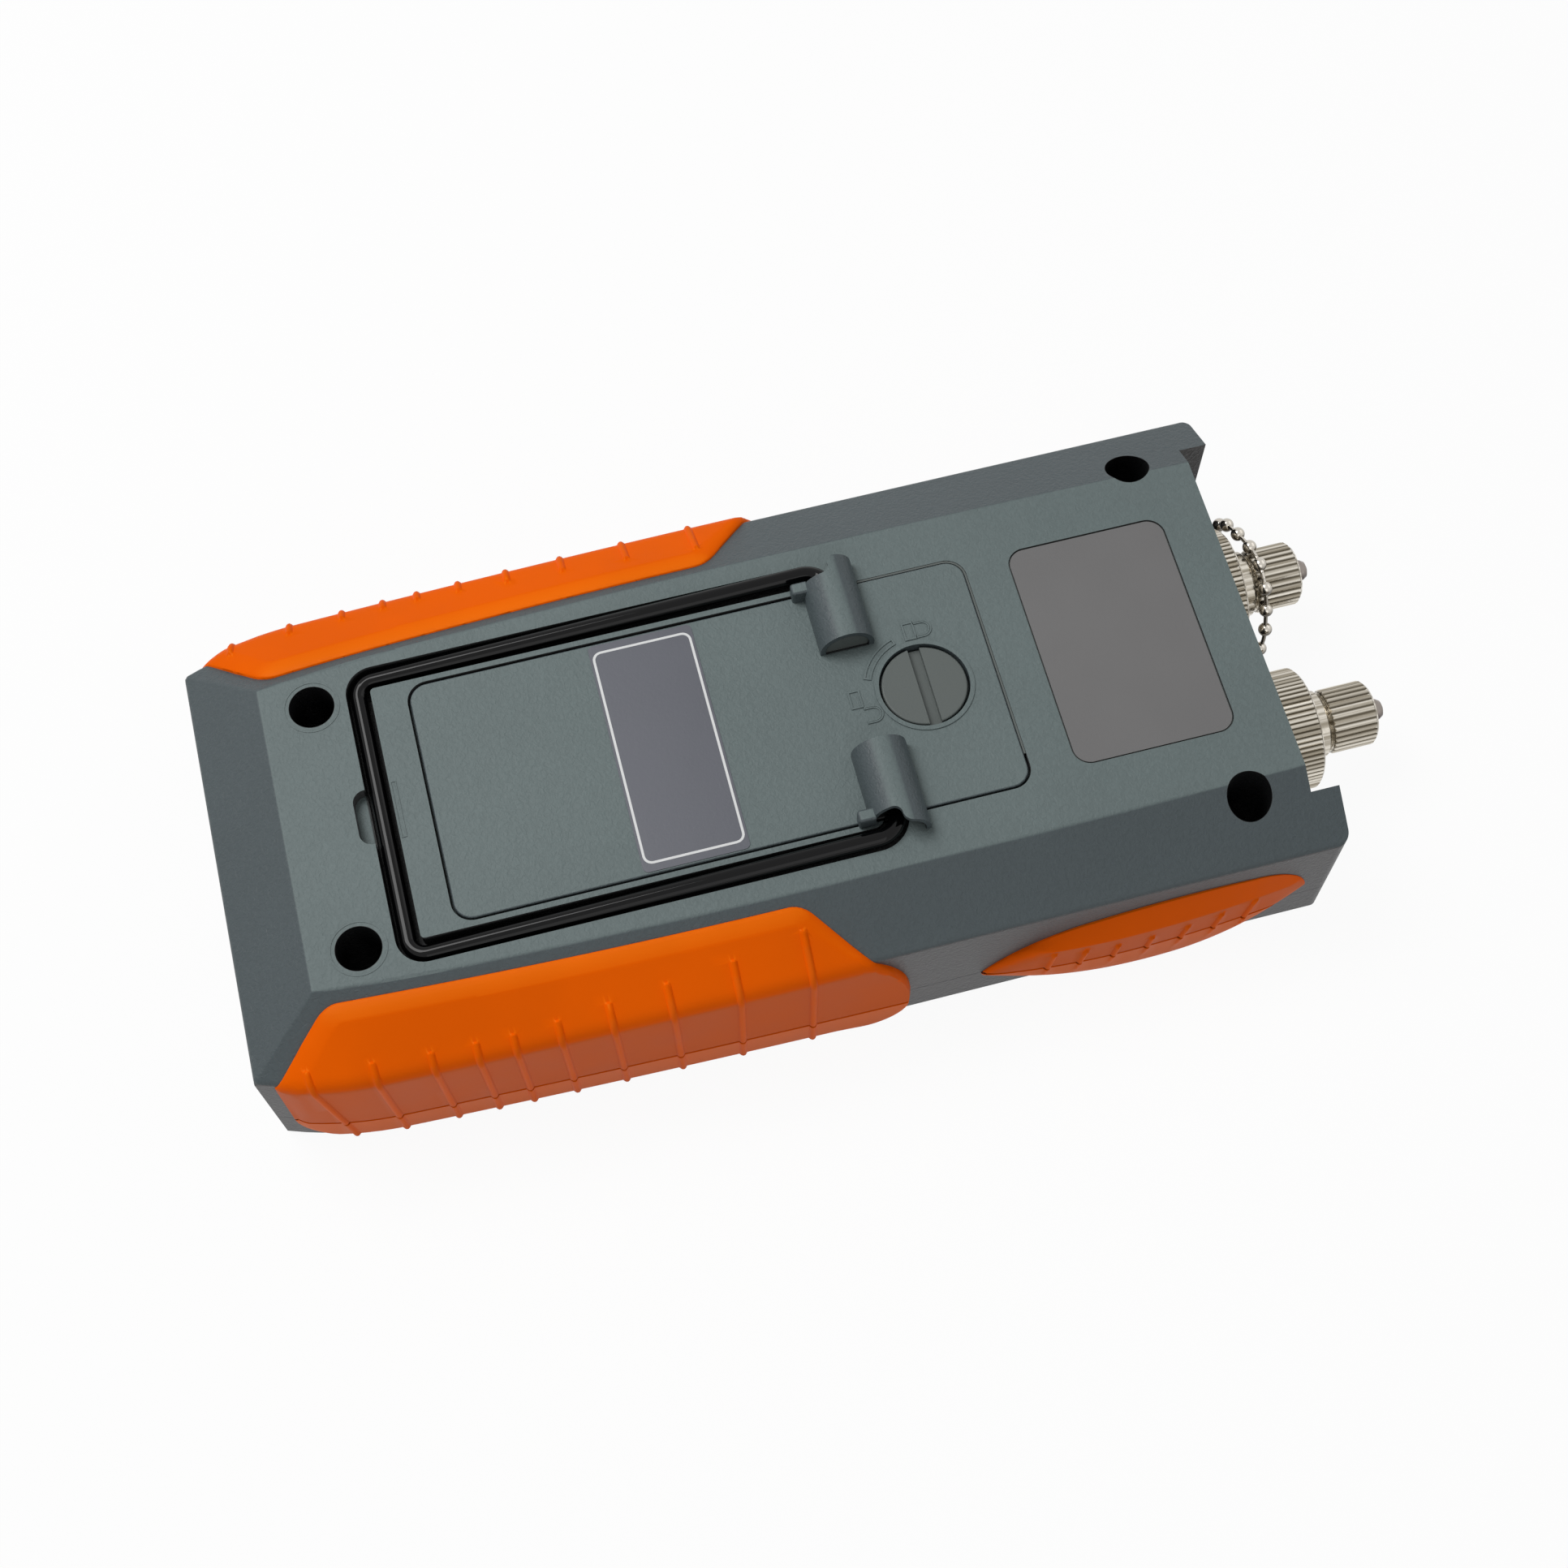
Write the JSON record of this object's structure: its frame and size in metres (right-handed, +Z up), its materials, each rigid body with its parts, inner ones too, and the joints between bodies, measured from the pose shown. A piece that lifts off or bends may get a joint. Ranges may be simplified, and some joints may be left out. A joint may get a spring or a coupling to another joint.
{
  "type": "optical multimeter",
  "caption": "Handheld optical power meter and light source lying face down, with wire bail stand, coin-lock battery cover, ribbed side grips and two capped ports on its end.",
  "frame": {"origin": "centre of the bounding box on the plane that the meter lies on", "axes": "+Y along the meter to its connector end, +Z up and out of its back, +X to the side that is on the left of someone who reads its display"},
  "size_m": [0.085, 0.1913, 0.0382],
  "materials": {
    "housing": "satin",
    "grip": "matte",
    "cover": "satin",
    "knob": "satin",
    "wire": "gloss",
    "plate": "satin",
    "screw": "satin",
    "nickel": "polished",
    "chain": "polished",
    "film": "satin",
    "window": "gloss",
    "display": "matte",
    "key": "matte",
    "mat": "matte",
    "board": "satin",
    "cell": "gloss",
    "contact": "satin",
    "socket": "matte",
    "module": "satin"
  },
  "bodies": {
    "casing": {"rear_housing": "housing", "front_housing": "housing", "housing_screws": "screw", "name_plate": "plate", "front_overlay": "film", "display_window": "window", "display_module": "display", "main_board": "board", "board_screws": "screw", "keypad_mat": "mat", "battery_left": "cell", "battery_right": "cell", "battery_springs": "contact", "battery_contacts": "contact", "power_jack": "socket", "source_boss": "module", "meter_boss": "module", "laser_module": "module", "detector_module": "module", "chain_anchors": "nickel", "cap_chain": "chain", "left_long_grip_rear": "grip", "left_long_grip_front": "grip", "left_upper_grip_rear": "grip", "left_upper_grip_front": "grip", "right_long_grip_rear": "grip", "right_long_grip_front": "grip", "right_upper_grip_rear": "grip", "right_upper_grip_front": "grip"},
    "battery_cover": {"battery_cover": "cover"},
    "lock": {"lock_knob": "knob", "lock_cam": "contact"},
    "bail": {"bail_stand": "wire"},
    "source_adapter": {"source_adapter": "nickel", "alignment_sleeve": "contact"},
    "meter_adapter": {"meter_adapter": "nickel"},
    "source_cap": {"source_cap": "nickel", "source_cap_rivet": "nickel"},
    "meter_cap": {"meter_cap": "nickel", "meter_cap_rivet": "nickel"},
    "key_power": {"key_power": "key"},
    "key_light": {"key_light": "key"},
    "key_unit": {"key_unit": "key"},
    "key_reference": {"key_reference": "key"},
    "key_meter_wave": {"key_meter_wave": "key"},
    "key_source_wave": {"key_source_wave": "key"},
    "key_mode": {"key_mode": "key"},
    "key_save": {"key_save": "key"}
  },
  "joints": [
    {"name": "cover_lift", "type": "slide", "parent": "casing", "child": "battery_cover", "axis": [0, 0, 1], "range_m": [0, 0.03]},
    {"name": "lock_turn", "type": "hinge", "parent": "battery_cover", "child": "lock", "pos_m": [0, 0.0194, 0.032], "axis": [0, 0, 1], "range_deg": [0, 90]},
    {"name": "bail_swing", "type": "hinge", "parent": "battery_cover", "child": "bail", "pos_m": [0, 0.0092, 0.0338], "axis": [-1, 0, 0], "range_deg": [0, 75]},
    {"name": "source_adapter_turn", "type": "hinge", "parent": "casing", "child": "source_adapter", "pos_m": [0.0142, 0.0753, 0.013], "axis": [0, 1, 0], "continuous": true},
    {"name": "meter_adapter_turn", "type": "hinge", "parent": "casing", "child": "meter_adapter", "pos_m": [-0.0142, 0.0753, 0.013], "axis": [0, 1, 0], "continuous": true},
    {"name": "source_cap_turn", "type": "hinge", "parent": "source_adapter", "child": "source_cap", "pos_m": [0.0142, 0.0883, 0.013], "axis": [0, 1, 0], "continuous": true},
    {"name": "meter_cap_turn", "type": "hinge", "parent": "meter_adapter", "child": "meter_cap", "pos_m": [-0.0142, 0.0853, 0.013], "axis": [0, 1, 0], "continuous": true},
    {"name": "key_power_press", "type": "slide", "parent": "casing", "child": "key_power", "axis": [0, 0, 1], "range_m": [0, 0.001], "stiffness_N_per_m": 900},
    {"name": "key_light_press", "type": "slide", "parent": "casing", "child": "key_light", "axis": [0, 0, 1], "range_m": [0, 0.001], "stiffness_N_per_m": 900},
    {"name": "key_unit_press", "type": "slide", "parent": "casing", "child": "key_unit", "axis": [0, 0, 1], "range_m": [0, 0.001], "stiffness_N_per_m": 900},
    {"name": "key_reference_press", "type": "slide", "parent": "casing", "child": "key_reference", "axis": [0, 0, 1], "range_m": [0, 0.001], "stiffness_N_per_m": 900},
    {"name": "key_meter_wave_press", "type": "slide", "parent": "casing", "child": "key_meter_wave", "axis": [0, 0, 1], "range_m": [0, 0.001], "stiffness_N_per_m": 900},
    {"name": "key_source_wave_press", "type": "slide", "parent": "casing", "child": "key_source_wave", "axis": [0, 0, 1], "range_m": [0, 0.001], "stiffness_N_per_m": 900},
    {"name": "key_mode_press", "type": "slide", "parent": "casing", "child": "key_mode", "axis": [0, 0, 1], "range_m": [0, 0.001], "stiffness_N_per_m": 900},
    {"name": "key_save_press", "type": "slide", "parent": "casing", "child": "key_save", "axis": [0, 0, 1], "range_m": [0, 0.001], "stiffness_N_per_m": 900}
  ]
}
